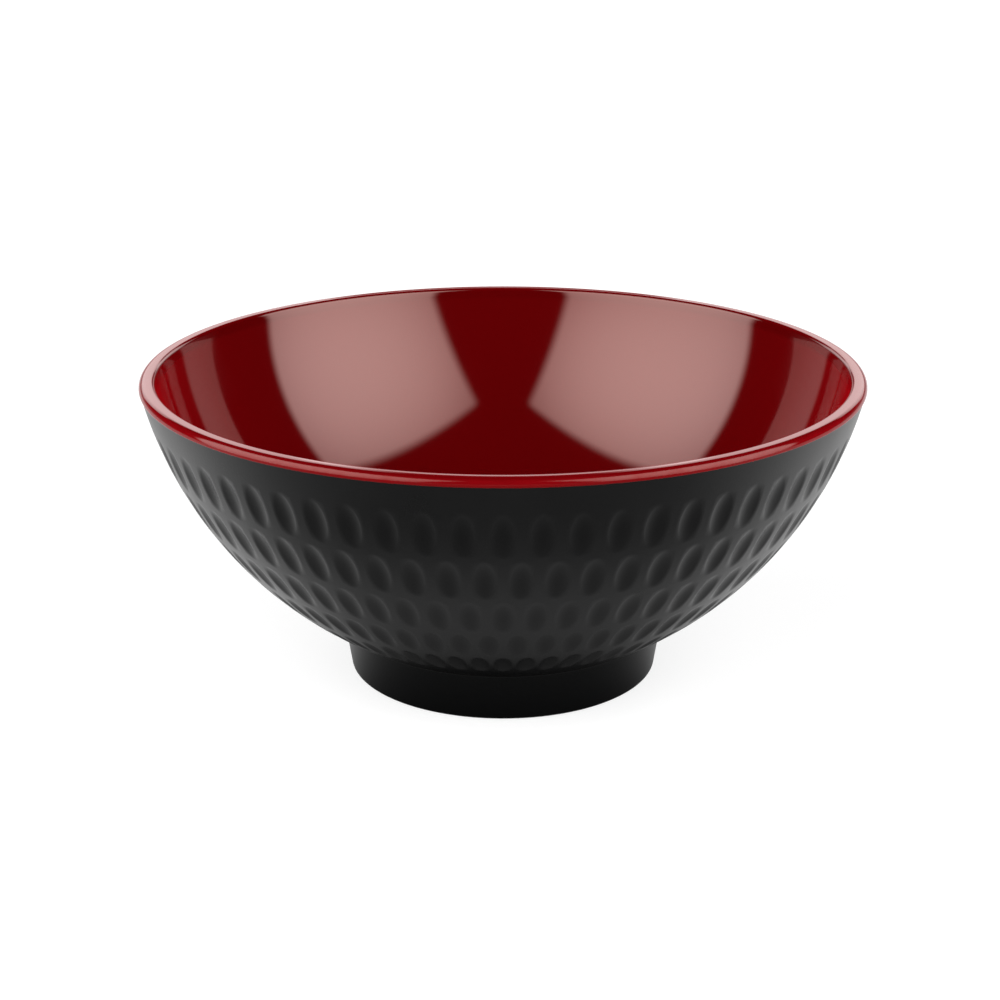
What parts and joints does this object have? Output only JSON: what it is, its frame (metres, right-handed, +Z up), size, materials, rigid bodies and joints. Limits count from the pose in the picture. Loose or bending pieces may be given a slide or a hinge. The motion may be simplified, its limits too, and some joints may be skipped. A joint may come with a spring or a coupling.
{
  "type": "bowl",
  "caption": "Round footed bowl with a dark dimpled outside wall and a glossy red lining whose lip covers the rim, for soup, rice or noodles.",
  "frame": {"origin": "centre of the foot's base, on the surface that the bowl stands on", "axes": "+Z up along the bowl's axis; the bowl is round, so X and Y are any two directions across it, with a dimple of the top row facing -Y"},
  "size_m": [0.16, 0.16, 0.07],
  "materials": {
    "shell_black": "satin black melamine",
    "liner_red": "high-gloss deep red melamine"
  },
  "bodies": {
    "root": {"outer_shell": "shell_black", "inner_liner": "liner_red"}
  },
  "joints": []
}
